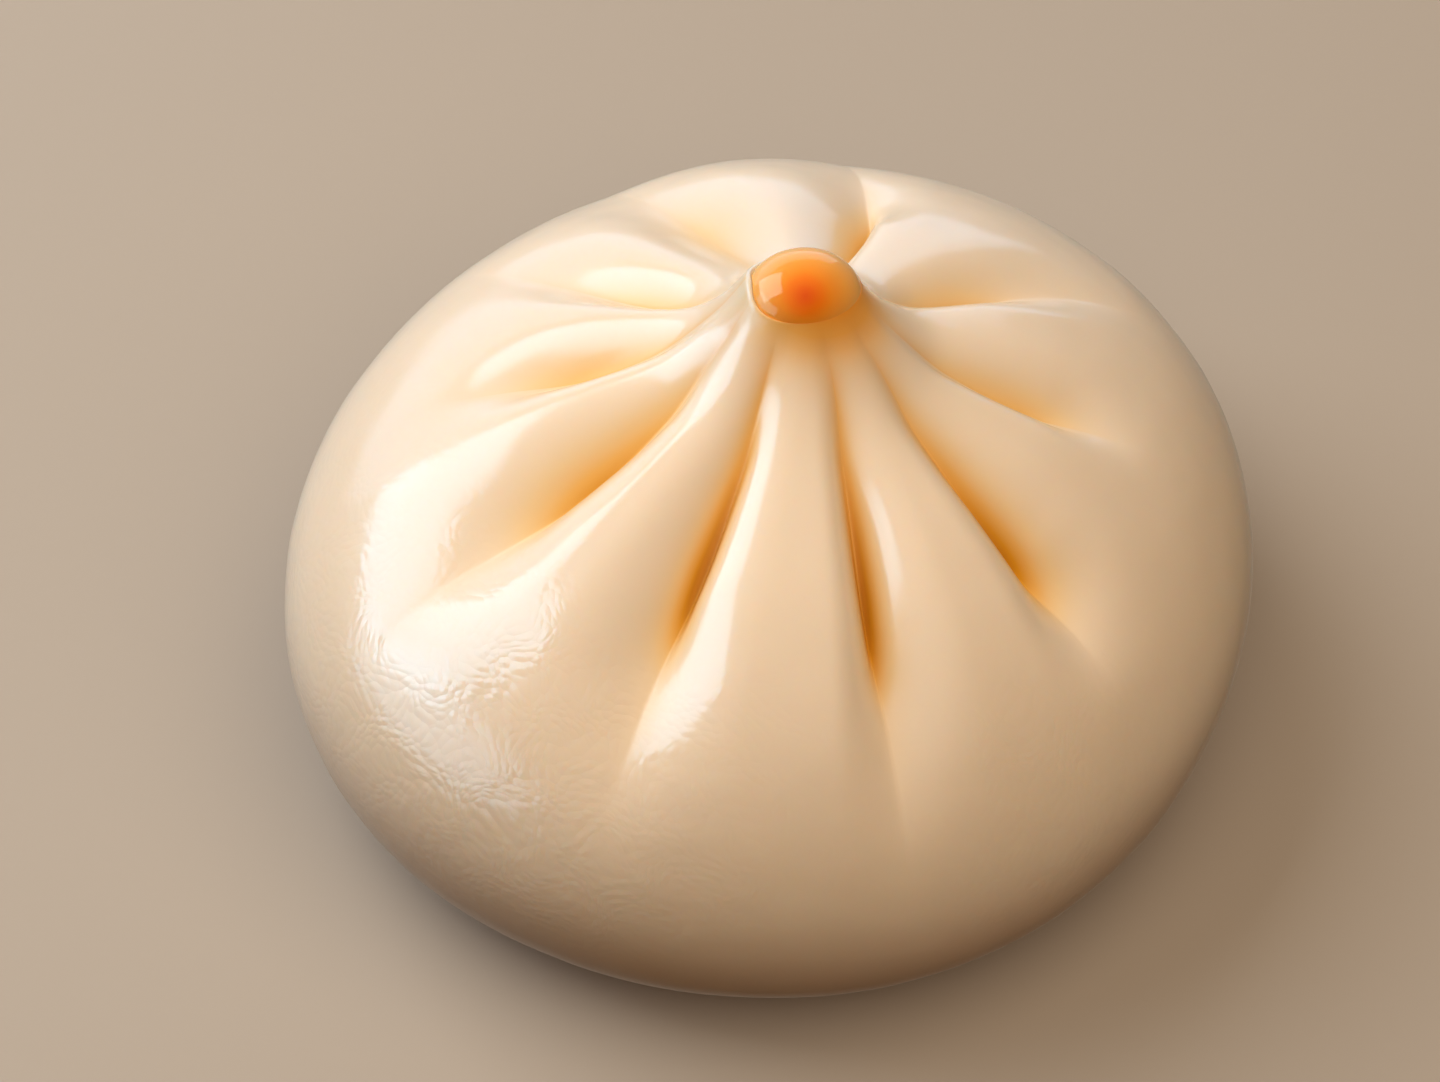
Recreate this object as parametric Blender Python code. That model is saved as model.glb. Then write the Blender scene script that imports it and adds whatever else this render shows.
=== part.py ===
"""A steamed bun: white wheat dough drawn up in ten pleats round an orange bead of roe.

Metres, +Z up. The origin is on the surface that the bun stands on, under the middle of its widest ring.
The bun's front is towards -Y.
"""

import math

import bmesh
import bpy
from mathutils import Vector

MM = 0.001

# The bun before it is pleated: a dome over a rounded side that turns in to a flat foot.
HALF_WIDTH = 50.0 * MM
GIRTH_HEIGHT = 17.4 * MM
DOME_RISE = 33.6 * MM
DOME_FULLNESS = 2.17
FOOT_RADIUS = 35.0 * MM
SIDE_FULLNESS = 2.1

# Seen from above it is not quite round: (bulges round the bun, their size, azimuth of one in degrees).
OUTLINE_WAVES = ((2, 0.034, 26.0), (3, 0.009, 55.0), (4, 0.005, 29.0))

# The bead of roe, and the cup in the dough that holds it. Pinched between the pleats, both are wider from side to
# side than from front to back, and so is the neck, less and less with its distance from the middle.
BEAD_RADIUS = 5.0 * MM
MOUTH_STRETCH, STRETCH_REACH = 1.16, 15.0 * MM
BEAD_FLAT = -0.97
BEAD_CENTRE_HEIGHT = 58.5 * MM
SEAT_RADIUS = BEAD_RADIUS + 0.35 * MM

# The neck, where the pleats are drawn together. It leans off the middle, and its lip is higher at the front
# right, and highest and rolled thicker at the left. From the lip a collar falls steeply to a wide skirt, flattest
# at the front.
HIGH_SIDE, FRONT_SIDE, ROLLED_SIDE = math.radians(-50.0), math.radians(-100.0), math.radians(165.0)
LIP_ANGLE, LIP_ANGLE_CHANGE = math.radians(104.0), math.radians(6.0)
LEFT_LIP_RISE, LEFT_LIP_WIDTH = math.radians(18.0), math.radians(32.0)
LIP_THICKNESS, LIP_ROLL = 0.40 * MM, 0.50 * MM
COLLAR_SPREAD, COLLAR_SPREAD_CHANGE = 3.8 * MM, 1.6 * MM
SKIRT_RISE, SKIRT_SPREAD = 2.2 * MM, 12.0 * MM
MOUTH_RADIUS = 5.6 * MM
NECK_REACH = 5.0 * MM
NECK_LEAN = Vector((2.5 * MM, 2.0 * MM))
LEAN_REACH = 42.0 * MM

# One row a crease, anticlockwise from the front left: its azimuth at the mouth, half way out and at its end;
# its depth; the radii at which it is deepest and has run out; then how far its hollow reaches and how much of
# it is a slit, into the pleat before it and into the one after it; last, how far its bottom is rounded.
CREASES = (
    (-115.0, -112.7, -111.5, 5.3 * MM, 26.0 * MM, 49.0 * MM, 12.0 * MM, 0.30, 9.5 * MM, 0.55, 0.1 * MM),
    (-72.5, -72.8, -74.5, 5.4 * MM, 29.0 * MM, 48.0 * MM, 5.0 * MM, 0.60, 9.0 * MM, 0.25, 0.1 * MM),
    (-43.0, -38.6, -40.0, 5.4 * MM, 31.0 * MM, 45.0 * MM, 6.0 * MM, 0.45, 10.5 * MM, 0.30, 0.1 * MM),
    (-10.0, -6.5, -5.0, 2.8 * MM, 25.0 * MM, 38.0 * MM, 5.0 * MM, 0.50, 8.5 * MM, 0.30, 0.3 * MM),
    (31.0, 31.5, 24.5, 2.8 * MM, 20.0 * MM, 42.0 * MM, 5.0 * MM, 0.45, 9.0 * MM, 0.15, 0.3 * MM),
    (83.0, 71.0, 80.0, 3.8 * MM, 22.0 * MM, 42.0 * MM, 8.0 * MM, 0.85, 13.0 * MM, 0.05, 0.2 * MM),
    (116.0, 113.5, 116.0, 2.4 * MM, 24.0 * MM, 46.0 * MM, 8.0 * MM, 0.0, 8.0 * MM, 0.0, 2.5 * MM),
    (148.0, 147.5, 142.0, 2.6 * MM, 18.0 * MM, 44.0 * MM, 7.5 * MM, 0.05, 6.0 * MM, 0.30, 0.8 * MM),
    (174.5, 177.0, 177.5, 3.0 * MM, 22.0 * MM, 37.0 * MM, 9.0 * MM, 0.10, 6.0 * MM, 0.35, 0.8 * MM),
    (203.0, 210.0, 207.5, 4.5 * MM, 25.0 * MM, 46.0 * MM, 16.0 * MM, 0.15, 9.0 * MM, 0.40, 0.2 * MM),
)
NECK_FLUTE_SHARE = 0.06
FLUTE_START = 2.5 * MM
SLIT_WIDTH, SLIT_NARROWING = 1.9 * MM, 1.0 * MM
SLIT_RUN_OUT = 0.45
FULL_REACH_RADIUS = 30.0 * MM

# How far each pleat, from its crease to the next, swells above the round of the dome.
PLEAT_SWELLS = (0.0, 0.0, 0.0, 0.0, 0.3 * MM, 1.2 * MM, 0.0, 0.0, 0.0, 0.0)

# How finely the skin is divided. Inside the gather radius the columns lie closer together beside the creases.
GATHER_RADIUS = 30.0 * MM
COLUMNS_A_PLEAT = 10
COLUMNS = COLUMNS_A_PLEAT * len(CREASES)
CUP_RINGS = 5
NECK_RINGS = 6
DOME_RINGS = 25
SIDE_RINGS = 7
LAST_DOME_RING = CUP_RINGS + NECK_RINGS + DOME_RINGS
RINGS = LAST_DOME_RING + SIDE_RINGS + 1
BEAD_COLUMNS = 28
BEAD_RINGS = 16

# Linear colours.
DOUGH_CREAM = (0.80, 0.63, 0.45)
ROE_ORANGE = (0.87, 0.30, 0.03)


def ease(low, high, value):
    """Rise smoothly from 0 to 1 while value goes from low to high."""
    share = min(max((value - low) / (high - low), 0.0), 1.0)
    return share * share * (3.0 - 2.0 * share)


def cup_place(ring, azimuth):
    """Radius and height of a ring on the cup under the bead, from its bottom up to the lip."""
    from_left = abs(azimuth % math.tau - math.pi)
    left_rise = LEFT_LIP_RISE * math.exp(-((from_left / LEFT_LIP_WIDTH) ** 2))
    lip_angle = LIP_ANGLE + left_rise + LIP_ANGLE_CHANGE * math.cos(azimuth - HIGH_SIDE)
    angle = lip_angle * ring / (CUP_RINGS - 1)
    return SEAT_RADIUS * math.sin(angle), BEAD_CENTRE_HEIGHT - SEAT_RADIUS * math.cos(angle)


def lip_place(azimuth):
    """Radius and height of the lip's inner edge, on the cup round the bead."""
    return cup_place(CUP_RINGS - 1, azimuth)


def lip_outside(azimuth):
    """Radius at which the collar starts, outside the lip."""
    rolled = max(0.0, math.cos(azimuth - ROLLED_SIDE))
    return lip_place(azimuth)[0] + LIP_THICKNESS + LIP_ROLL * rolled


def dome_radius(ring, azimuth):
    """Radius of a ring on the neck and the dome, from outside the lip out to the widest ring."""
    step = ring / NECK_RINGS
    radius = MOUTH_RADIUS + NECK_REACH * (step + step**2) / 2.0
    if ring > NECK_RINGS:
        first = math.asin((MOUTH_RADIUS + NECK_REACH) / HALF_WIDTH)
        angle = first + (math.pi / 2.0 - first) * (ring - NECK_RINGS) / DOME_RINGS
        radius = HALF_WIDTH * math.sin(angle)
    return radius - (MOUTH_RADIUS - lip_outside(azimuth)) * math.exp((MOUTH_RADIUS - radius) / (2.0 * MM))


def round_height(radius):
    """Height of the round of the bun, without its neck, at a distance from its middle."""
    return GIRTH_HEIGHT + DOME_RISE * math.sqrt(max(0.0, 1.0 - (radius / HALF_WIDTH) ** DOME_FULLNESS))


def dome_height(radius, azimuth, swell):
    """Height of the uncreased skin at a radius in one direction, on a pleat that swells by so much there."""
    outside = lip_outside(azimuth)
    past_lip = max(0.0, radius - outside)
    collar_rise = lip_place(azimuth)[1] - round_height(outside) - SKIRT_RISE
    collar_spread = COLLAR_SPREAD + COLLAR_SPREAD_CHANGE * math.cos(azimuth - FRONT_SIDE)
    neck = SKIRT_RISE * math.exp(-past_lip / SKIRT_SPREAD) + collar_rise * math.exp(-past_lip / collar_spread)
    neck *= 1.0 - ease(25.0 * MM, 45.0 * MM, radius)
    swell *= ease(14.0 * MM, 34.0 * MM, radius) * (1.0 - ease(40.0 * MM, HALF_WIDTH, radius))
    return round_height(radius) + neck + swell


def side_place(ring):
    """Radius and height on the side, from the widest ring down to the foot's edge, then the foot's middle."""
    if ring > SIDE_RINGS:
        return 0.0, 0.0
    angle = math.pi / 2.0 * ring / SIDE_RINGS
    across = math.cos(angle) ** (2.0 / SIDE_FULLNESS)
    down = math.sin(angle) ** (2.0 / SIDE_FULLNESS)
    return FOOT_RADIUS + (HALF_WIDTH - FOOT_RADIUS) * across, GIRTH_HEIGHT * (1.0 - down)


def outline_scale(azimuth):
    """How much wider than round the bun is in one direction."""
    waves = [size * math.cos(bulges * (azimuth - math.radians(first))) for bulges, size, first in OUTLINE_WAVES]
    return 1.0 + sum(waves)


def crease_azimuth(crease, radius):
    """Azimuth in degrees of a crease at a radius: a curve through its three given azimuths."""
    at_mouth, half_way, at_end = crease[:3]
    share = min(radius / crease[5], 1.0)
    return (
        at_mouth * 2.0 * (share - 0.5) * (share - 1.0)
        - half_way * 4.0 * share * (share - 1.0)
        + at_end * 2.0 * share * (share - 0.5)
    )


def crease_depth(crease, radius):
    """Depth of a crease at a radius: a shallow flute on the neck, then its full depth, then running out."""
    depth, deepest, end = crease[3:6]
    opening = NECK_FLUTE_SHARE + (1.0 - NECK_FLUTE_SHARE) * ease(MOUTH_RADIUS, deepest, radius)
    return depth * opening * (1.0 - ease(deepest, end, radius))


def hollow_share(distance, reach, slit_share, rounding, radius, room):
    """Share of a crease's depth that is left at a distance to one side of it.

    The hollow grows with the radius and keeps within its room on the pleat. In its bottom is a slit, where the
    two pleats fold together.
    """
    distance = math.hypot(distance, rounding) - rounding
    reach *= 0.25 + 0.75 * radius / FULL_REACH_RADIUS
    to_crest = min(distance / (room**-4 + reach**-4) ** -0.25, 1.0)
    hollow = (1.0 - slit_share) * (1.0 - math.sin(math.pi / 2.0 * to_crest))
    slit_width = SLIT_WIDTH - SLIT_NARROWING * slit_share
    return hollow + slit_share * math.exp(-((distance / slit_width) ** 1.5))


def slit_left(crease, radius):
    """Share of a crease's slit that is left at a radius: past its deepest place the slit soon opens out."""
    deepest, end = crease[4:6]
    return 1.0 - ease(deepest, deepest + SLIT_RUN_OUT * (end - deepest), radius)


def pleat_drop(crease, next_crease, radius, across, share):
    """How far the skin lies below the pleat's crest, at a share of the way across it."""
    before, slit_before = next_crease[6:8]
    after, slit_after, rounding = crease[8:11]
    slit_after *= slit_left(crease, radius)
    slit_before *= slit_left(next_crease, radius)
    room = across * after / (after + before)
    here = hollow_share(share * across, after, slit_after, rounding, radius, room)
    there = hollow_share((1.0 - share) * across, before, slit_before, next_crease[10], radius, across - room)
    return crease_depth(crease, radius) * here + crease_depth(next_crease, radius) * there


def spread_column(column, radius):
    """The pleat that a column stands in, and the column's share of the way across it."""
    pleat, step = divmod(column, COLUMNS_A_PLEAT)
    even = step / COLUMNS_A_PLEAT
    beside_creases = (1.0 - math.cos(math.pi * even)) / 2.0
    evened_out = ease(GATHER_RADIUS, HALF_WIDTH, radius)
    return pleat, beside_creases + (even - beside_creases) * evened_out


def skin_point(ring, column):
    """Place of the point where a ring and a column of the dough's skin cross."""
    dome_ring = ring - CUP_RINGS
    on_dome = 0 <= dome_ring < NECK_RINGS + DOME_RINGS
    spread_radius = dome_radius(dome_ring, 0.0) if on_dome else (MOUTH_RADIUS if dome_ring < 0 else HALF_WIDTH)
    pleat, share = spread_column(column, spread_radius)
    crease, next_crease = CREASES[pleat], CREASES[(pleat + 1) % len(CREASES)]
    start = crease_azimuth(crease, spread_radius)
    width = (crease_azimuth(next_crease, spread_radius) - start) % 360.0
    azimuth = math.radians(start + width * share)

    if dome_ring < 0:
        radius, height = cup_place(ring, azimuth)
    elif not on_dome:
        radius, height = side_place(ring - LAST_DOME_RING)
    else:
        radius = dome_radius(dome_ring, azimuth)
        swell = PLEAT_SWELLS[pleat] * math.sin(math.pi * share)
        height = dome_height(radius, azimuth, swell)
        step = 0.2 * MM
        slope = Vector((step, dome_height(radius + step, azimuth, swell) - height)).normalized()
        drop = pleat_drop(crease, next_crease, radius, radius * math.radians(width), share)
        drop *= ease(0.0, FLUTE_START, radius - lip_outside(azimuth))
        height -= slope.x * drop
        radius += slope.y * drop

    if dome_ring >= 0:
        radius *= 1.0 + (outline_scale(azimuth) - 1.0) * ease(MOUTH_RADIUS, HALF_WIDTH, radius)
    lean = stretch = 0.0
    if ring <= LAST_DOME_RING:
        lean = 1.0 - ease(MOUTH_RADIUS, LEAN_REACH, radius)
        stretch = (MOUTH_STRETCH - 1.0) * (1.0 - ease(MOUTH_RADIUS, STRETCH_REACH, radius))
    return Vector(
        (
            NECK_LEAN.x * lean + radius * math.cos(azimuth) * (1.0 + stretch),
            NECK_LEAN.y * lean + radius * math.sin(azimuth),
            height,
        )
    )


def new_object(name, bm, collection, colour, roughness):
    """Turn a bmesh into a smooth-shaded object with a material of its own."""
    mesh = bpy.data.meshes.new(name)
    bm.to_mesh(mesh)
    bm.free()
    mesh.shade_smooth()
    material = bpy.data.materials.new(name)
    material.use_nodes = True
    shader = material.node_tree.nodes["Principled BSDF"]
    shader.inputs["Base Color"].default_value = (*colour, 1.0)
    shader.inputs["Roughness"].default_value = roughness
    shader.inputs["Metallic"].default_value = 0.0
    mesh.materials.append(material)
    obj = bpy.data.objects.new(name, mesh)
    collection.objects.link(obj)
    return obj


def make_dough(collection):
    """The dough: a sphere whose rings become the cup, the pleated dome, the side and the flat foot."""
    bm = bmesh.new()
    bmesh.ops.create_uvsphere(bm, u_segments=COLUMNS, v_segments=RINGS, radius=1.0)
    for vert in bm.verts:
        from_top = math.acos(min(1.0, max(-1.0, vert.co.z)))
        around = math.atan2(vert.co.y, vert.co.x)
        vert.co = skin_point(round(from_top / math.pi * RINGS), round(around / math.tau * COLUMNS) % COLUMNS)
    new_object("dough", bm, collection, DOUGH_CREAM, 0.35)


def make_bead(collection):
    """The bead of roe, flattened a little underneath, seated in the dough's cup."""
    bm = bmesh.new()
    bmesh.ops.create_uvsphere(bm, u_segments=BEAD_COLUMNS, v_segments=BEAD_RINGS, radius=BEAD_RADIUS)
    for vert in bm.verts:
        vert.co.z = max(vert.co.z, BEAD_FLAT * BEAD_RADIUS)
        vert.co.x *= MOUTH_STRETCH
    bead = new_object("roe_bead", bm, collection, ROE_ORANGE, 0.2)
    bead.location = (*NECK_LEAN, BEAD_CENTRE_HEIGHT)


for old in list(bpy.data.objects):
    bpy.data.objects.remove(old)
bun = bpy.data.collections.new("steamed_bun")
bpy.context.scene.collection.children.link(bun)
make_dough(bun)
make_bead(bun)
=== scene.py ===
"""The looks of a steamed bun: pleated white dough, glossy from the steamer, with an orange bead on top."""

import math
from collections import namedtuple

import bmesh
import bpy
import numpy as np
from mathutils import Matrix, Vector, noise


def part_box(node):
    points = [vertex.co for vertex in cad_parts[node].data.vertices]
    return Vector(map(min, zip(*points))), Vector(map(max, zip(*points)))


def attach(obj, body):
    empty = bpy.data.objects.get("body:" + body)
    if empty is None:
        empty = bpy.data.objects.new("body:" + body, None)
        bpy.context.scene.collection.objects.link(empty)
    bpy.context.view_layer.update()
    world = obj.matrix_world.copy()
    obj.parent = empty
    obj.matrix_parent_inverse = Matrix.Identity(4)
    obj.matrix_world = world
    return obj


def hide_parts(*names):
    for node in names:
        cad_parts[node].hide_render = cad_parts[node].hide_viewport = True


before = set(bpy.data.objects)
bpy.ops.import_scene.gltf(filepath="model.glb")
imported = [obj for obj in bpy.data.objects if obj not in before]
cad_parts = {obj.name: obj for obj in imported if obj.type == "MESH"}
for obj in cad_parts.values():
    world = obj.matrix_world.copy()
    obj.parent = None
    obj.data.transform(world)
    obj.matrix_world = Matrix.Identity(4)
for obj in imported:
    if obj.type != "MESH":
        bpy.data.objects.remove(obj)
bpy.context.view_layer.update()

# ------------------------------------------------------------------------------------------------------------
# The dough. A round of soft wheat dough is drawn up round its filling in ten pleats, pinched to a neck and
# steamed. It swells as it sets, so each pleat is a rounded lobe, and the folds between them close to slits,
# with a warm amber shade painted into them. It is made as one skin, from the cup under the bead down to the
# foot.
# ------------------------------------------------------------------------------------------------------------

MM = 0.001

# The bun before it is pleated: a dome over a rounded side that turns in to a flat foot.
dough_low, dough_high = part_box("dough")
half_width = (dough_high.x - dough_low.x + dough_high.y - dough_low.y) / 4
girth_height = 0.348 * half_width
dome_rise, dome_fullness = 0.672 * half_width, 2.17
foot_radius, side_fullness = 0.70 * half_width, 2.1
# Seen from above it is not quite round: bulges round the bun, their size, and the azimuth of one in degrees.
outline_waves = ((2, 0.034, 26.0), (3, 0.009, 55.0), (4, 0.005, 29.0))

# The cup fits round the bead. Pinched between the pleats, it is wider from side to side than from front to
# back, and so is the neck, less and less out to the stretch's reach.
bead_low, bead_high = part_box("roe_bead")
bead_radius = (bead_high.y - bead_low.y) / 2
bead_centre = (bead_low + bead_high) / 2
bead_centre.z = bead_high.z - bead_radius
mouth_stretch, stretch_reach = 1.16, 15.0 * MM

# The lip of dough round the bead: how far up the bead it comes, in degrees from the bead's lowest point,
# highest at the front right and at the left, and how thick it is, thin at the front and rolled at the left.
lip_angle, lip_angle_change, lip_high_side = 104.0, 6.0, -50.0
left_lip_rise, left_lip_width = 18.0, 32.0
lip_thinnest, lip_roll, lip_roll_side = 0.03 * MM, 0.55 * MM, 165.0
lip_roundness = 0.45

# The neck: a steep collar on a wide, low skirt, both run out on the dome, and leaning towards the bead.
mouth_radius, mouth_blend = 5.6 * MM, 2.0 * MM
skirt_rise, skirt_spread = 2.2 * MM, 12.0 * MM
collar_spread, collar_spread_change, collar_wide_side = 3.8 * MM, 1.6 * MM, -100.0
neck_fade_start, neck_fade_end = 25.0 * MM, 45.0 * MM
neck_lean, lean_reach = bead_centre.xy, 42.0 * MM

# The creases, anticlockwise from the front left, each with: its azimuths at the mouth, half way out and at
# its end; its depth, and the radii at which it is deepest and has run out; then, for the pleat before it and
# the one after it, how far its hollow reaches, how much of it is a slit and how strong the amber shade
# painted in it is; last, how far its bottom is rounded. Azimuths are in degrees and lengths in millimetres.
Side = namedtuple("Side", "reach slit amber")
Crease = namedtuple("Crease", "azimuths depth deepest run_out before after rounding")
creases = [
    Crease(
        azimuths, *(length * MM for length in lengths),
        Side(before[0] * MM, *before[1:]), Side(after[0] * MM, *after[1:]), rounding * MM,
    )
    for azimuths, lengths, before, after, rounding in (
        ((-115.0, -112.7, -111.5), (5.3, 26.0, 49.0), (12.0, 0.30, 1.40), (9.5, 0.55, 1.10), 0.1),
        ((-72.5, -72.8, -74.8), (5.4, 29.0, 51.0), (5.0, 0.60, 1.00), (9.0, 0.25, 1.25), 0.1),
        ((-43.0, -38.6, -40.0), (5.4, 31.0, 45.0), (6.0, 0.45, 0.70), (10.5, 0.30, 0.92), 0.1),
        ((-10.0, -6.5, -5.0), (2.8, 25.0, 38.0), (5.0, 0.50, 0.30), (8.5, 0.30, 0.75), 0.3),
        ((31.0, 31.5, 24.5), (2.8, 20.0, 42.0), (5.0, 0.45, 0.30), (9.0, 0.15, 0.60), 0.3),
        ((83.0, 71.0, 80.0), (3.8, 22.0, 42.0), (8.0, 0.85, 0.50), (13.0, 0.05, 0.95), 0.2),
        ((116.0, 113.5, 116.0), (2.4, 24.0, 46.0), (8.0, 0.0, 0.45), (8.0, 0.0, 0.40), 2.5),
        ((148.0, 147.5, 142.0), (2.6, 18.0, 44.0), (7.5, 0.05, 0.50), (6.0, 0.30, 0.15), 0.8),
        ((174.5, 177.0, 177.5), (3.0, 22.0, 37.0), (9.0, 0.10, 0.78), (6.0, 0.32, 0.30), 0.9),
        ((203.0, 210.0, 207.5), (4.5, 25.0, 46.0), (16.0, 0.15, 0.80), (9.0, 0.40, 0.50), 0.2),
    )
]
# On the neck a crease is a shallow flute, which starts just past the lip.
flute_share, flute_start = 0.06, 2.5 * MM
# A hollow's stated reach holds at this radius. It narrows to a quarter at the middle.
full_reach_radius, reach_at_middle = 30.0 * MM, 0.25
# A slit is narrower the more of the crease it is, and runs out before the hollow does.
slit_width, slit_narrowing, slit_squareness, slit_run_out = 1.9 * MM, 1.0 * MM, 1.5, 0.45
# The sharper edge of a slit laps over the other one by up to the tuck's reach, which fades out to each side.
tuck_reach, tuck_run_out, lapping_width, lapped_width = 1.6 * MM, 0.6, 0.8 * MM, 4.0 * MM

# How far each pleat, from its crease to the next, swells above the round of the dome, and over which radii.
pleat_swells = (0.0, 0.0, 0.0, 0.0, 0.3 * MM, 1.2 * MM, 0.0, 0.0, 0.0, 0.0)
swell_start, swell_full, swell_fade = 14.0 * MM, 34.0 * MM, 40.0 * MM

# The rings from the cup's middle to the foot's, and the columns round them, which crowd towards the creases.
columns_a_pleat, crowding, crowding_fade = 60, 0.8, 30.0 * MM
columns = columns_a_pleat * len(creases)
cup_rings, lip_rings, neck_rings, dome_rings, side_rings = 4, 3, 18, 108, 30
neck_reach = 5.0 * MM
first_neck_ring = cup_rings + lip_rings
last_dome_ring = first_neck_ring + neck_rings + dome_rings
rings = last_dome_ring + side_rings + 1
# Keeps a radius from reaching zero where lengths round the bun are divided by it.
least_radius = 1.0 * MM


def ease(low, high, value):
    """Rise smoothly from 0 to 1 while value goes from low to high."""
    share = np.clip((value - low) / (high - low), 0.0, 1.0)
    return share * share * (3.0 - 2.0 * share)


def round_height(radius):
    """Height of the round of the bun, without its neck, at a distance from its middle."""
    return girth_height + dome_rise * np.sqrt(np.maximum(0.0, 1.0 - (radius / half_width) ** dome_fullness))


def lip_polar_angle(azimuth):
    """Angle, up from the bead's lowest point, at which the dough's lip meets the bead."""
    from_left = np.abs(azimuth % math.tau - math.pi)
    left_rise = left_lip_rise * np.exp(-((from_left / math.radians(left_lip_width)) ** 2))
    front_rise = lip_angle_change * np.cos(azimuth - math.radians(lip_high_side))
    return np.radians(lip_angle + left_rise + front_rise)


def lip_thickness(azimuth):
    """Thickness of the dough's lip round the bead."""
    return lip_thinnest + lip_roll * np.maximum(0.0, np.cos(azimuth - math.radians(lip_roll_side)))


def skin_profile():
    """Radius of every ring from the lip out over the dome and side, and height of the side's rings."""
    step = np.linspace(0.0, 1.0, neck_rings + 1)[:-1]
    neck_radius = mouth_radius + neck_reach * (step + step**2) / 2
    dome_start = math.asin((mouth_radius + neck_reach) / half_width)
    dome_angle = np.linspace(dome_start, math.pi / 2, dome_rings + 1)
    side_angle = np.linspace(0.0, math.pi / 2, side_rings + 1)[1:]
    across = np.maximum(np.cos(side_angle), 0.0) ** (2 / side_fullness)
    side_radius = foot_radius + (half_width - foot_radius) * across
    side_height = girth_height * (1.0 - np.sin(side_angle) ** (2 / side_fullness))
    radius = np.concatenate([neck_radius, half_width * np.sin(dome_angle), side_radius, [0.0]])
    return radius, np.concatenate([side_height, [0.0]])


def crease_azimuth(crease, radius):
    """Azimuth in degrees of a crease at a radius: a curve through its three given azimuths."""
    share = np.minimum(radius / crease.run_out, 1.0)
    at_mouth, half_way, at_end = crease.azimuths
    return (
        at_mouth * 2.0 * (share - 0.5) * (share - 1.0)
        - half_way * 4.0 * share * (share - 1.0)
        + at_end * 2.0 * share * (share - 0.5)
    )


def part_left(crease, run_out, radius):
    """1 until a crease is deepest, then down to 0 at the run-out's share of the way to the crease's end."""
    end = crease.deepest + run_out * (crease.run_out - crease.deepest)
    return 1.0 - ease(crease.deepest, end, radius)


def crease_depth(crease, radius):
    """Depth of a crease: a shallow flute on the neck, then its full depth, then running out."""
    opening = flute_share + (1.0 - flute_share) * ease(mouth_radius, crease.deepest, radius)
    return crease.depth * opening * part_left(crease, 1.0, radius)


def crease_hollow(distance, side, slit_left, rounding, radius, room):
    """Share of a crease's depth that is left at a distance to one side of it, by its hollow and its slit."""
    distance = np.hypot(distance, rounding) - rounding
    reach = side.reach * (reach_at_middle + (1.0 - reach_at_middle) * radius / full_reach_radius)
    # A smooth least of the hollow's own reach and the room that the pleat leaves it.
    hollow_width = (room**-4.0 + reach**-4.0) ** -0.25
    hollow = 1.0 - np.sin(math.pi / 2 * np.minimum(distance / hollow_width, 1.0))
    slit_share = side.slit * slit_left
    slit = np.exp(-((distance / (slit_width - slit_narrowing * slit_share)) ** slit_squareness))
    return (1.0 - slit_share) * hollow + slit_share * slit


def tuck(crease, distance, onward, radius):
    """How far the skin beside a crease is tucked sideways, under the pleat whose edge is the sharper one."""
    toward = (crease.after.slit - crease.before.slit) * tuck_reach
    width = lapping_width if toward * onward > 0.0 else lapped_width
    strength = crease_depth(crease, radius) / crease.depth * part_left(crease, tuck_run_out, radius)
    return toward * strength * np.exp(-((distance / width) ** 2))


def outline_scale(azimuth):
    """How much wider than round the bun is in one direction."""
    waves = (size * np.cos(bulges * (azimuth - math.radians(first))) for bulges, size, first in outline_waves)
    return 1.0 + sum(waves)


# What the dough's material reads at each point of the skin.
# Painted shade in a fold: a warm amber where the fold is deep. It is full at this depth, narrower the
# stronger it is, and thins past the fold.
amber_depth, amber_narrowing = 4.5 * MM, 1.2
shade_thins_before, shade_thins_after, shade_thinning = 2.0 * MM, 10.0 * MM, 0.9
# The painted shade line along a crease on the neck, and the edge, where a fold is so narrow that light stays
# in it.
line_width, line_fade_start, line_fade_end = 0.7 * MM, 14.0 * MM, 34.0 * MM
edge_width = 1.2 * MM
# The stain that the bead leaves on the neck, brightened as a painted glow of light through the bead,
# strongest at the front right.
stain_and_glow_reach, stain_and_glow_mean, stain_and_glow_change, stain_and_glow_side = 2.4 * MM, 0.42, 0.58, -48.0


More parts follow.
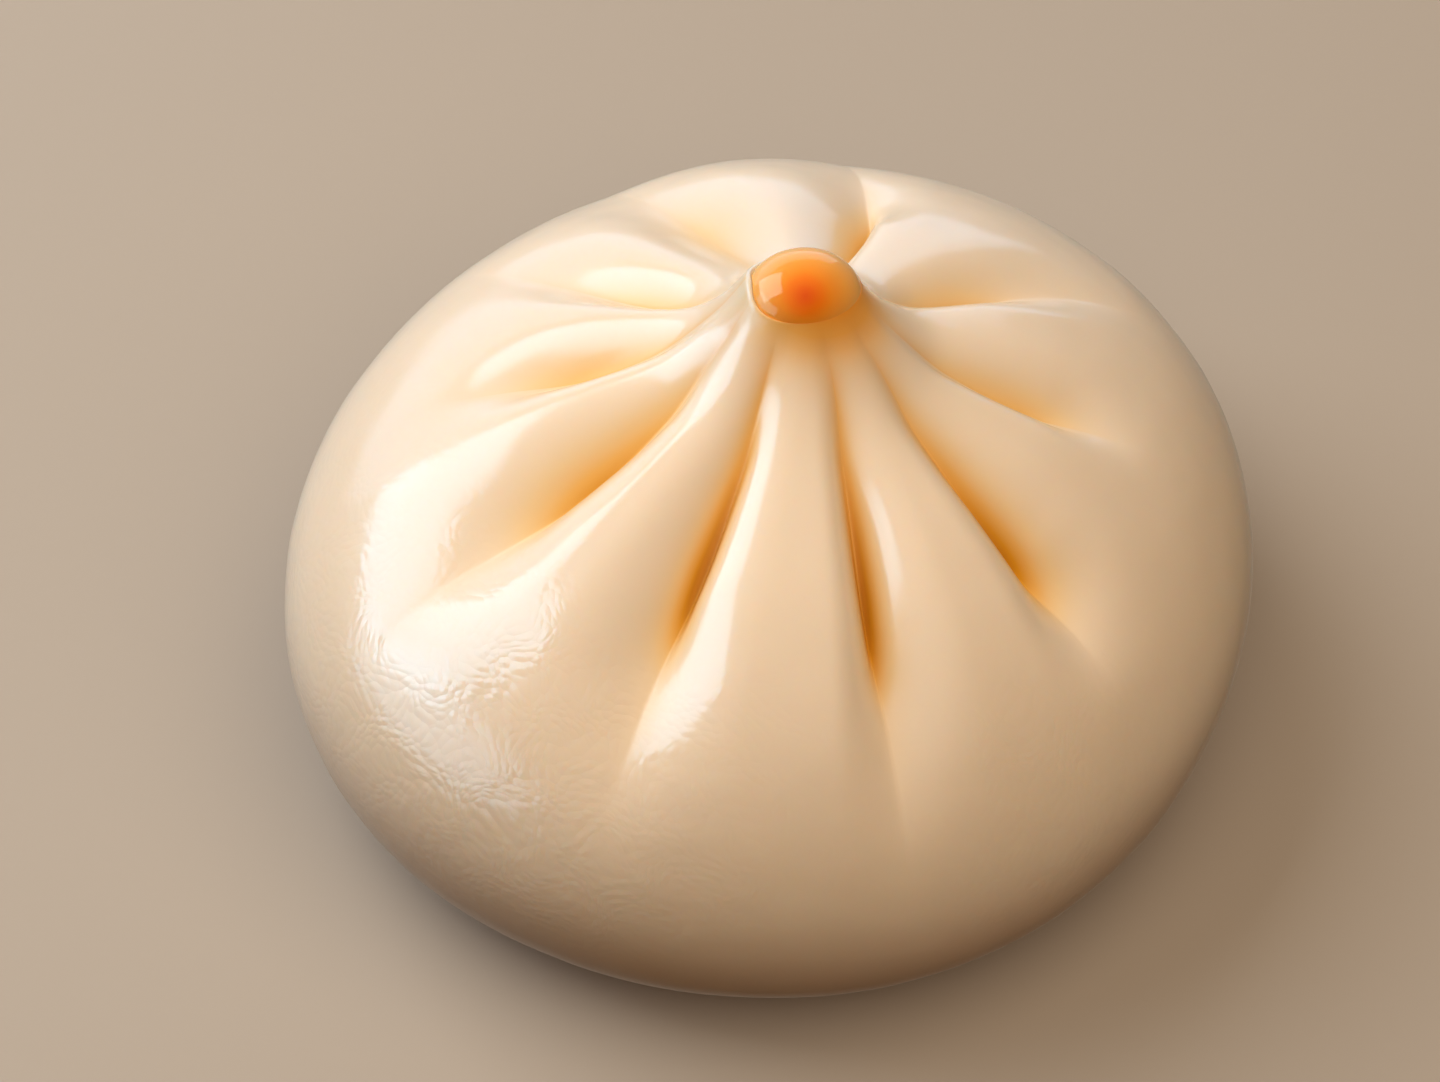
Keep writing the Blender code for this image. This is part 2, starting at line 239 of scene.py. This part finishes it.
def shape_pleat(pleat, radius, side_height):
    """One pleat, crease to crease, as rings by columns: its points, painted fold shade, painted crease line,
    stain with painted glow, and edge.
    """
    crease, next_crease = creases[pleat], creases[(pleat + 1) % len(creases)]
    radius = np.concatenate([np.full(first_neck_ring, radius[0]), radius])[:, None]
    ring = np.arange(rings + 1)[:, None]
    in_cup = ring < cup_rings
    in_lip = (ring >= cup_rings) & (ring < first_neck_ring)
    on_dome = (ring >= first_neck_ring) & (ring < last_dome_ring)
    above_side = ring <= last_dome_ring

    even = np.arange(columns_a_pleat)[None, :] / columns_a_pleat
    crowded = (1.0 - np.cos(math.pi * even)) / 2
    crowding_left = (1.0 - ease(crowding_fade, half_width, radius)) * crowding
    share = even + (crowded - even) * crowding_left
    start = crease_azimuth(crease, radius)
    width = (crease_azimuth(next_crease, radius) - start) % 360.0
    azimuth = np.radians(start + width * share)

    # The cup and the lip, round the bead.
    lip = lip_polar_angle(azimuth)
    cup_angle = lip * np.minimum(ring / cup_rings, 1.0)
    cup_radius = bead_radius * np.sin(cup_angle)
    cup_height = bead_centre.z - bead_radius * np.cos(cup_angle)
    thickness = lip_thickness(azimuth)
    lip_share = np.clip((ring - cup_rings) / lip_rings, 0.0, 1.0)
    lip_height = bead_centre.z - bead_radius * np.cos(lip)
    neck_start = bead_radius * np.sin(lip) + thickness

    # The neck and the dome, with the pleat's swell.
    out = radius - (mouth_radius - neck_start) * np.exp(-np.maximum(radius - mouth_radius, 0.0) / mouth_blend)
    out = np.maximum(out, 0.0)
    past_lip = np.maximum(out - neck_start, 0.0)
    collar_rise = lip_height - round_height(neck_start) - skirt_rise
    spread = collar_spread + collar_spread_change * np.cos(azimuth - math.radians(collar_wide_side))
    neck = skirt_rise * np.exp(-past_lip / skirt_spread) + collar_rise * np.exp(-past_lip / spread)
    neck = neck * (1.0 - ease(neck_fade_start, neck_fade_end, out))
    swell = pleat_swells[pleat] * np.sin(math.pi * share) * ease(swell_start, swell_full, out)
    height = round_height(out) + neck + swell * (1.0 - ease(swell_fade, half_width, out))

    # The two creases: how far they lower the skin, and the shade painted in them.
    across = np.radians(width) * np.maximum(out, least_radius)
    room = across * crease.after.reach / (crease.after.reach + next_crease.before.reach)
    drop = tucked = line = amber = edge = 0.0
    for near, side, distance, onward, space in (
        (crease, crease.after, share * across, 1.0, room),
        (next_crease, next_crease.before, (1.0 - share) * across, -1.0, across - room),
    ):
        slit_left = part_left(near, slit_run_out, out)
        hollow = crease_hollow(distance, side, slit_left, near.rounding, out, space)
        depth = crease_depth(near, out) * hollow
        thins_from, thins_to = near.deepest - shade_thins_before, near.deepest + shade_thins_after
        shade_left = 1.0 - shade_thinning * ease(thins_from, thins_to, out)
        drop = drop + depth
        tucked = tucked + tuck(near, distance, onward, out)
        line = line + np.exp(-distance / line_width) * side.amber
        amber = amber + depth * hollow ** (amber_narrowing * side.amber**2) * side.amber * shade_left
        edge = edge + depth * np.exp(-distance / edge_width)
    drop = np.where(on_dome, drop * ease(0.0, flute_start, past_lip), 0.0)
    azimuth = azimuth + tucked / np.maximum(out, least_radius)

    # The skin goes down square to its own slope, then the outline's waves widen it.
    slope_radius, slope_height = np.gradient(out, axis=0), np.gradient(height, axis=0)
    slope = np.maximum(np.hypot(slope_radius, slope_height), 1e-9)
    height = height - slope_radius / slope * drop
    out = out + slope_height / slope * drop
    out = out * (1.0 + (outline_scale(azimuth) - 1.0) * ease(mouth_radius, half_width, out))

    lip_out = neck_start - thickness * (1.0 - lip_share)
    lip_top = lip_height + thickness * lip_roundness * np.sin(math.pi * lip_share)
    out = np.where(in_cup, cup_radius, np.where(in_lip, lip_out, out))
    height = np.where(in_cup, cup_height, np.where(in_lip, lip_top, height))
    height[last_dome_ring + 1 :] = side_height[:, None]
    height[last_dome_ring] = girth_height

    lean = np.where(above_side, 1.0 - ease(mouth_radius, lean_reach, out), 0.0)
    stretched = np.where(above_side, 1.0 - ease(mouth_radius, stretch_reach, out), 0.0)
    x = neck_lean.x * lean + out * np.cos(azimuth) * (1.0 + (mouth_stretch - 1.0) * stretched)
    y = neck_lean.y * lean + out * np.sin(azimuth)

    line = line * (1.0 - ease(line_fade_start, line_fade_end, out)) * on_dome
    amber = amber / amber_depth * on_dome
    edge = np.minimum(edge / edge_width, 1.0) * on_dome
    stain_and_glow_strength = stain_and_glow_mean + stain_and_glow_change * np.cos(azimuth - math.radians(stain_and_glow_side))
    stain_and_glow = np.exp(-past_lip / stain_and_glow_reach) * ~in_cup * np.maximum(0.0, stain_and_glow_strength)
    return np.stack([x, y, height], axis=-1), amber, line, stain_and_glow, edge


def wrap_skin(name, grid):
    """Close a grid of rings by columns into one mesh, its first and last ring drawn to a point."""
    between = grid[1:-1].reshape(-1, 3)
    points = np.concatenate([grid[0, :1], between, grid[-1, :1]])
    first = 1 + np.arange(len(grid) - 3)[:, None] * columns + np.arange(columns)[None, :]
    beside = first + np.where(np.arange(columns) == columns - 1, 1 - columns, 1)[None, :]
    quads = np.stack([first, first + columns, beside + columns, beside], axis=-1).reshape(-1, 4)
    ends = [(0, 1 + step, 1 + (step + 1) % columns) for step in range(columns)]
    base = len(points) - 1 - columns
    ends += [(len(points) - 1, base + (step + 1) % columns, base + step) for step in range(columns)]
    mesh = bpy.data.meshes.new(name)
    mesh.from_pydata(points.tolist(), [], quads.tolist() + ends)
    return mesh


def add_attribute(mesh, name, grid):
    """Keep one number of the grid for each vertex that wrap_skin makes, for the material to read."""
    values = np.concatenate([grid[0, :1], grid[1:-1].ravel(), grid[-1, :1]])
    attribute = mesh.attributes.new(name, "FLOAT", "POINT")
    attribute.data.foreach_set("value", values.astype(np.float32))


profile_radius, side_height = skin_profile()
pleats = [shape_pleat(pleat, profile_radius, side_height) for pleat in range(len(creases))]
skin, amber, crease_line, stain_and_glow, edge = (np.concatenate(grids, axis=1) for grids in zip(*pleats))

# The dough's skin sets in a fine crepe where it dried before it swelled: puffed cells with thin creases
# between them, longer downhill than across. They are about twice the real size, which is too fine to show.
cell_width, cell_length = 1.1 * MM, 2.2 * MM
crepe_bend, crepe_bend_size = 1.2, 5.0 * MM
fine_share, fine_scale = 0.5, 2.1
crepe_height = 0.034 * MM
noise.seed_set(1)
# It lies in a wide patch at the front left and a weaker, narrower one low at the front right: their azimuths
# in degrees, and the distances from the bun's middle and heights between which it comes up to its full share.
left_patch_side, left_patch_width = 230.0, 42.0
right_patch_side, right_patch_width, right_patch_share = -54.0, 15.0, 0.7
right_patch_from = (34.0 * MM, 42.0 * MM)
crepe_from, crepe_up = (26.0 * MM, 37.0 * MM), (8.0 * MM, 22.0 * MM)
least_crepe, least_crepe_from, too_faint = 0.05, (10.0 * MM, 20.0 * MM), 0.01
# Dough drawn up by hand is nowhere quite even: two sizes of faint waves, and how high they are.
sway_from = (12.0 * MM, 24.0 * MM)
sway_size, fine_sway_size, fine_sway_share, sway_height = 9.0 * MM, 3.5 * MM, 0.35, 0.09 * MM


def crepe(point, sideways, downhill):
    """Height share of the crepe at a point of the skin."""
    cell = Vector((sideways / cell_width, downhill / cell_length, 0.0))
    bend = noise.noise_vector(point / crepe_bend_size) * crepe_bend
    return abs(noise.noise(cell + bend)) + fine_share * abs(noise.noise((cell + bend) * fine_scale))


def patch(facing, side, width):
    """Strength of a patch of crepe round one azimuth."""
    from_side = (facing - math.radians(side) + math.pi) % math.tau - math.pi
    return np.exp(-((from_side / math.radians(width)) ** 2))


down_skin, across_skin = np.gradient(skin, axis=0), np.roll(skin, -1, axis=1) - np.roll(skin, 1, axis=1)
outward = np.cross(down_skin, across_skin)
outward /= np.maximum(np.linalg.norm(outward, axis=2, keepdims=True), 1e-12)
downhill = np.cumsum(np.linalg.norm(down_skin, axis=2), axis=0)
facing = np.arctan2(skin[..., 1], skin[..., 0])
sideways = facing * half_width
from_middle = np.hypot(skin[..., 0], skin[..., 1])
right_patch = patch(facing, right_patch_side, right_patch_width) * ease(*right_patch_from, from_middle)
crepe_share = patch(facing, left_patch_side, left_patch_width) + right_patch_share * right_patch
crepe_share = crepe_share * ease(*crepe_from, from_middle) * ease(*crepe_up, skin[..., 2])
crepe_share = crepe_share + least_crepe * ease(*least_crepe_from, from_middle)
relief = np.zeros(crepe_share.shape)
sway = np.zeros(crepe_share.shape)
for spot in map(tuple, np.argwhere(crepe_share > too_faint)):
    point = Vector(skin[spot])
    relief[spot] = crepe(point, sideways[spot], downhill[spot]) * crepe_share[spot]
    sway[spot] = noise.noise(point / sway_size) + fine_sway_share * noise.noise(point / fine_sway_size)
sway = sway * sway_height * ease(*sway_from, from_middle)
skin = skin + outward * (relief * crepe_height + sway)[..., None]

dough_mesh = wrap_skin("pleated_dough", skin)
for name, grid in (
    ("amber", amber), ("crease_line", crease_line), ("stain_and_glow", stain_and_glow), ("edge", edge), ("crepe", crepe_share),
):
    add_attribute(dough_mesh, name, grid)
dough_mesh.shade_smooth()
dough_mesh.update()
dough = bpy.data.objects.new("pleated_dough", dough_mesh)
bpy.context.scene.collection.objects.link(dough)


def linear(hex_colour):
    """Linear RGBA of an sRGB hex colour."""
    channels = [int(hex_colour[i : i + 2], 16) / 255 for i in (1, 3, 5)]
    return (*[c / 12.92 if c <= 0.04045 else ((c + 0.055) / 1.055) ** 2.4 for c in channels], 1.0)


def add_node(tree, kind, settings=None, links=None, stops=()):
    """Add a node, set its properties and sockets, link its inputs and colour the stops of its ramp."""
    node = tree.nodes.new(kind)
    for key, value in (settings or {}).items():
        if isinstance(key, str) and hasattr(node, key):
            setattr(node, key, value)
        else:
            node.inputs[key].default_value = value
    for key, output in (links or {}).items():
        tree.links.new(output, node.inputs[key])
    for position, colour in stops:
        at_end = position in (0.0, 1.0)
        ramp = node.color_ramp.elements
        (ramp[-int(position)] if at_end else ramp.new(position)).color = linear(colour)
    return node


# Steamed wheat dough, set starch with a wet skin. The dough is cream white and lets light a little way in,
# so its shadows are warm and soft, and the film of water and oil on it gives clear, slightly soft highlights.
steamed = bpy.data.materials.new("steamed_wheat_dough")
steamed.use_nodes = True
tree = steamed.node_tree
shader = tree.nodes["Principled BSDF"]
clear_dough, clouded_dough = 0.7, 0.12
for socket, value in (
    ("Roughness", 0.38),
    ("IOR", 1.36),
    ("Specular IOR Level", 0.3),
    ("Coat Weight", 1.0),
    ("Coat Roughness", 0.16),
    ("Coat IOR", 1.5),
    ("Subsurface Weight", clear_dough),
    ("Subsurface Radius", (1.0, 0.76, 0.55)),
    ("Subsurface Scale", 2.2 * MM),
):
    shader.inputs[socket].default_value = value
# The colour inputs and output of a Mix node.
colour_a, colour_b, mixed = 6, 7, 2

# Plain dough, and a painted warm amber shade where a fold is deep.
in_fold = add_node(tree, "ShaderNodeAttribute", {"attribute_name": "amber"}).outputs["Fac"]
dough_colour = add_node(
    tree, "ShaderNodeValToRGB", links={"Fac": in_fold},
    stops=((0.0, "#f3e5d3"), (0.20, "#f2d9ae"), (0.5, "#ecc072"), (0.8, "#dda428"), (1.0, "#cf9200")),
)
# Painted shade: the foot darker and browner towards the surface that it stands on.
painted_foot_shade, foot_shade_top, foot_shade_full = "#b47e50", 27 * MM, 1 * MM
place = add_node(tree, "ShaderNodeTexCoord").outputs["Object"]
height = add_node(tree, "ShaderNodeSeparateXYZ", links={"Vector": place})
low = add_node(
    tree, "ShaderNodeMapRange",
    {"interpolation_type": "SMOOTHSTEP", "From Min": foot_shade_top, "From Max": foot_shade_full},
    {"Value": height.outputs["Z"]},
).outputs["Result"]
foot_shaded = add_node(
    tree, "ShaderNodeMix", {"data_type": "RGBA", colour_b: linear(painted_foot_shade)},
    {"Factor": low, colour_a: dough_colour.outputs["Color"]},
)
# A thin line of painted shade along each crease on the neck.
line_shade_tint, line_strength = "#eebd72", 0.8
line_share = add_node(
    tree, "ShaderNodeMath", {"operation": "MULTIPLY", "use_clamp": True, 1: line_strength},
    {0: add_node(tree, "ShaderNodeAttribute", {"attribute_name": "crease_line"}).outputs["Fac"]},
)
line_shaded = add_node(
    tree, "ShaderNodeMix", {"data_type": "RGBA", colour_b: linear(line_shade_tint)},
    {"Factor": line_share.outputs[0], colour_a: foot_shaded.outputs[mixed]},
)
# The bead's orange, soaked into the neck and brightened as a painted glow of light through the bead, and the
# strengths between which it covers the dough's colour.
stain_and_glow_shows, stain_and_glow_covers = 0.03, 0.45
round_bead = add_node(tree, "ShaderNodeAttribute", {"attribute_name": "stain_and_glow"}).outputs["Fac"]
stain_and_glow_colour = add_node(
    tree, "ShaderNodeValToRGB", links={"Fac": round_bead},
    stops=((0.0, "#fbe0bc"), (0.35, "#ffd29a"), (0.65, "#ffb85e"), (1.0, "#ffa63a")),
)
stain_and_glow_share = add_node(
    tree, "ShaderNodeMapRange",
    {"interpolation_type": "SMOOTHSTEP", "From Min": stain_and_glow_shows, "From Max": stain_and_glow_covers},
    {"Value": round_bead},
)
stain_and_glow_mixed = add_node(
    tree, "ShaderNodeMix", {"data_type": "RGBA"},
    {
        "Factor": stain_and_glow_share.outputs["Result"],
        colour_a: line_shaded.outputs[mixed], colour_b: stain_and_glow_colour.outputs["Color"],
    },
)
tree.links.new(stain_and_glow_mixed.outputs[mixed], shader.inputs["Base Color"])
# The wet film is thin on the foot and lost deep in the folds. Where fold shade and the bead's stain and glow
# are painted, the dough lets less light in.
film_on_foot, film_in_folds = 0.3, 0.1
in_slit = add_node(tree, "ShaderNodeAttribute", {"attribute_name": "edge"}).outputs["Fac"]
inward = add_node(tree, "ShaderNodeMath", {"operation": "MAXIMUM"}, {0: in_fold, 1: in_slit}).outputs[0]
foot_film = add_node(tree, "ShaderNodeMapRange", {"To Min": 1.0, "To Max": film_on_foot}, {"Value": low})
fold_film = add_node(tree, "ShaderNodeMapRange", {"To Min": 1.0, "To Max": film_in_folds}, {"Value": inward})
film = add_node(
    tree, "ShaderNodeMath", {"operation": "MULTIPLY"},
    {0: foot_film.outputs["Result"], 1: fold_film.outputs["Result"]},
)
tree.links.new(film.outputs[0], shader.inputs["Coat Weight"])
clouded = add_node(tree, "ShaderNodeMath", {"operation": "MAXIMUM"}, {0: inward, 1: round_bead})
clearness = add_node(
    tree, "ShaderNodeMapRange", {"To Min": clear_dough, "To Max": clouded_dough}, {"Value": clouded.outputs[0]}
)
tree.links.new(clearness.outputs["Result"], shader.inputs["Subsurface Weight"])
# The finest puffs of the crepe, too small for the mesh: about 1 mm across, where the real ones are less than
# half of that and would not show, and bent so that they don't lie in straight rows.
puff_size, puff_height, bend_size, bend = 1.0 * MM, 0.05 * MM, 5 * MM, 4 * MM
warp = add_node(tree, "ShaderNodeTexNoise", {"Scale": 1 / bend_size, "Detail": 0.0}, {"Vector": place})
bent = add_node(
    tree, "ShaderNodeVectorMath", {"operation": "MULTIPLY_ADD", 1: (bend, bend, bend)},
    {0: warp.outputs["Color"], 2: place},
)
puffs = add_node(
    tree, "ShaderNodeTexVoronoi",
    {"feature": "F1", "Scale": 1 / puff_size}, {"Vector": bent.outputs["Vector"]},
)
puffed = add_node(
    tree, "ShaderNodeMath", {"operation": "MULTIPLY"},
    {
        0: puffs.outputs["Distance"],
        1: add_node(tree, "ShaderNodeAttribute", {"attribute_name": "crepe"}).outputs["Fac"],
    },
)
creped = add_node(
    tree, "ShaderNodeBump", {"invert": True, "Strength": 1.0, "Distance": puff_height},
    {"Height": puffed.outputs["Value"]},
)
for socket in ("Normal", "Coat Normal"):
    tree.links.new(creped.outputs["Normal"], shader.inputs[socket])
dough_mesh.materials.append(steamed)

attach(dough, "root")
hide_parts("dough")


# ------------------------------------------------------------------------------------------------------------
# The bead. One large fish egg: a skin full of clear orange oil, with a darker yolk that shows through it near
# the front. It is set into the mouth of the dough before the bun is steamed, and sticks there.
# ------------------------------------------------------------------------------------------------------------

bead_segments, bead_rings = 96, 64
# Its top is a little slack, unevenly, and its hidden underside is cut flat, as shares of its radius.
top_slack, slack_start, slack_blend, slack_lumps = 0.10 * MM, 0.45, 0.3, 1.6
slack_seed = Vector((0.0, 0.0, 7.0))
underside = -0.93

bm = bmesh.new()
bmesh.ops.create_uvsphere(bm, u_segments=bead_segments, v_segments=bead_rings, radius=bead_radius)
for vert in bm.verts:
    toward = vert.co.normalized()
    slack = 0.5 + 0.5 * noise.noise(toward * slack_lumps + slack_seed)
    vert.co -= toward * top_slack * slack * min(1.0, max(0.0, toward.z - slack_start) / slack_blend)
    vert.co.z = max(vert.co.z, underside * bead_radius)
    vert.co.x *= mouth_stretch
bead_mesh = bpy.data.meshes.new("bead_of_roe")
bm.to_mesh(bead_mesh)
bm.free()
bead_mesh.shade_smooth()
bead = bpy.data.objects.new("bead_of_roe", bead_mesh)
bead.location = bead_centre
bpy.context.scene.collection.objects.link(bead)

# Salmon roe, an egg's smooth wet skin round coloured oil: a clear, sharp highlight on deep, glowing orange,
# red over the yolk and paler towards the rim, where there is less oil to look through.
roe = bpy.data.materials.new("salmon_roe")
roe.use_nodes = True
tree = roe.node_tree
shader = tree.nodes["Principled BSDF"]
for socket, value in (
    ("Roughness", 0.08),
    ("IOR", 1.50),
    ("Specular Tint", (1.0, 0.93, 0.64, 1.0)),
    ("Subsurface Weight", 0.4),
    ("Subsurface Radius", (1.0, 0.5, 0.2)),
    ("Subsurface Scale", 1.0 * MM),
):
    shader.inputs[socket].default_value = value
# Painted depth: the colour is graded from red at a yolk set towards the front to pale at the rim, in place of
# light seen through the oil, fixed however the bead is seen.
yolk_centre = Vector((0.0, -0.63, 0.777)) * bead_radius
palest_from_yolk = 6.0 * MM
from_yolk = add_node(
    tree, "ShaderNodeVectorMath", {"operation": "DISTANCE", 1: yolk_centre},
    {0: add_node(tree, "ShaderNodeTexCoord").outputs["Object"]},
)
yolk_share = add_node(
    tree, "ShaderNodeMapRange", {"From Max": palest_from_yolk}, {"Value": from_yolk.outputs["Value"]}
)
roe_colour = add_node(
    tree, "ShaderNodeValToRGB", links={"Fac": yolk_share.outputs["Result"]},
    stops=(
        (0.0, "#f05e00"), (0.13, "#f66e02"), (0.27, "#fd8210"),
        (0.42, "#ff9a28"), (0.70, "#ffb150"), (1.0, "#ffc374"),
    ),
)
tree.links.new(roe_colour.outputs["Color"], shader.inputs["Base Color"])
bead_mesh.materials.append(roe)

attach(bead, "root")
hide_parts("roe_bead")


# ------------------------------------------------------------------------------------------------------------
# The studio. A pale board to stand on, and softboxes: windows at the left and back that only the wet skin
# mirrors, and broad daylight and a warm fill from above that light the dough itself.
# ------------------------------------------------------------------------------------------------------------

# Painted board: flat and matt, so that it shows only the bun's soft shadow. It throws no light on the bun.
floor_half = 2.0
bm = bmesh.new()
bmesh.ops.create_grid(bm, x_segments=1, y_segments=1, size=floor_half)
floor_mesh = bpy.data.meshes.new("pale_floor")
bm.to_mesh(floor_mesh)
bm.free()
board = bpy.data.materials.new("painted_board")
board.use_nodes = True
shader = board.node_tree.nodes["Principled BSDF"]
shader.inputs["Base Color"].default_value = linear("#b4ada5")
shader.inputs["Roughness"].default_value = 0.9
floor_mesh.materials.append(board)
floor = bpy.data.objects.new("pale_floor", floor_mesh)
bpy.context.scene.collection.objects.link(floor)
floor.visible_diffuse = False
floor.visible_glossy = False

bun_middle = Vector((0.0, 0.0, 0.03))


def add_softbox(name, direction, distance, width, height, watts, colour):
    """A rectangular softbox that faces the bun."""
    light = bpy.data.lights.new(name, "AREA")
    light.shape = "RECTANGLE"
    light.size, light.size_y = width, height
    light.energy = watts
    light.color = linear(colour)[:3]
    lamp = bpy.data.objects.new(name, light)
    bpy.context.scene.collection.objects.link(lamp)
    toward = Vector(direction).normalized()
    lamp.location = bun_middle + toward * distance
    lamp.rotation_euler = toward.to_track_quat("Z", "Y").to_euler()
    return lamp


for mirrored, *softbox in (
    (True, "window", (-0.83, 0.09, 0.53), 0.60, 0.54, 0.50, 5.0, "#a8deff"),
    (True, "low_window", (-0.93, -0.32, 0.10), 0.65, 0.60, 0.30, 1.7, "#b8e2ff"),
    (True, "back_window", (-0.26, 0.93, 0.27), 0.70, 1.40, 0.50, 3.0, "#a6d6ff"),
    (False, "daylight", (-0.62, 0.34, 0.70), 0.80, 0.70, 0.70, 5.5, "#fff8ee"),
    (False, "top_fill", (0.23, -0.35, 0.91), 1.00, 1.20, 1.20, 7.7, "#ffe3c2"),
):
    lamp = add_softbox(*softbox)
    lamp.visible_diffuse = not mirrored
    lamp.visible_glossy = mirrored

# The room round it: a faint warm glow, and in reflections brown towards the front right and pale behind.
room_glow = 0.10
pale_wall, darkest, palest = Vector((-0.70, 0.52, 0.48)).normalized(), -0.45, 0.55
world = bpy.data.worlds.new("studio")
world.use_nodes = True
tree = world.node_tree
room = tree.nodes["Background"]
room.inputs["Color"].default_value = linear("#ffcf9c")
room.inputs["Strength"].default_value = room_glow
lit_side = add_node(
    tree, "ShaderNodeVectorMath",
    {"operation": "DOT_PRODUCT", 1: pale_wall},
    {0: add_node(tree, "ShaderNodeTexCoord").outputs["Generated"]},
)
lit_share = add_node(
    tree, "ShaderNodeMapRange",
    {"From Min": darkest, "From Max": palest}, {"Value": lit_side.outputs["Value"]},
)
walls = add_node(
    tree, "ShaderNodeValToRGB", links={"Fac": lit_share.outputs["Result"]},
    stops=((0.0, "#6c5a46"), (1.0, "#e2d6c6")),
)
mirrored_room = add_node(tree, "ShaderNodeBackground", {"Strength": 1.0}, {"Color": walls.outputs["Color"]})
either = add_node(
    tree, "ShaderNodeMixShader",
    links={
        0: add_node(tree, "ShaderNodeLightPath").outputs["Is Glossy Ray"],
        1: room.outputs[0], 2: mirrored_room.outputs[0],
    },
)
tree.links.new(either.outputs[0], tree.nodes["World Output"].inputs["Surface"])
bpy.context.scene.world = world
bpy.context.scene.view_settings.view_transform = "Standard"

# The camera looks down on the bun from the front.
camera_angle, camera_distance = math.radians(52.0), 0.4055
aim = Vector((-5.75 * MM, -2.0 * MM, 25.0 * MM))
camera_data = bpy.data.cameras.new("camera")
camera_data.lens = 97.5
camera_data.sensor_width = 36.0
camera_data.clip_start = 0.01
camera = bpy.data.objects.new("camera", camera_data)
bpy.context.scene.collection.objects.link(camera)
back = Vector((0.0, -math.cos(camera_angle), math.sin(camera_angle)))
camera.location = aim + back * camera_distance
camera.rotation_euler = (math.pi / 2 - camera_angle, 0.0, 0.0)
bpy.context.scene.camera = camera
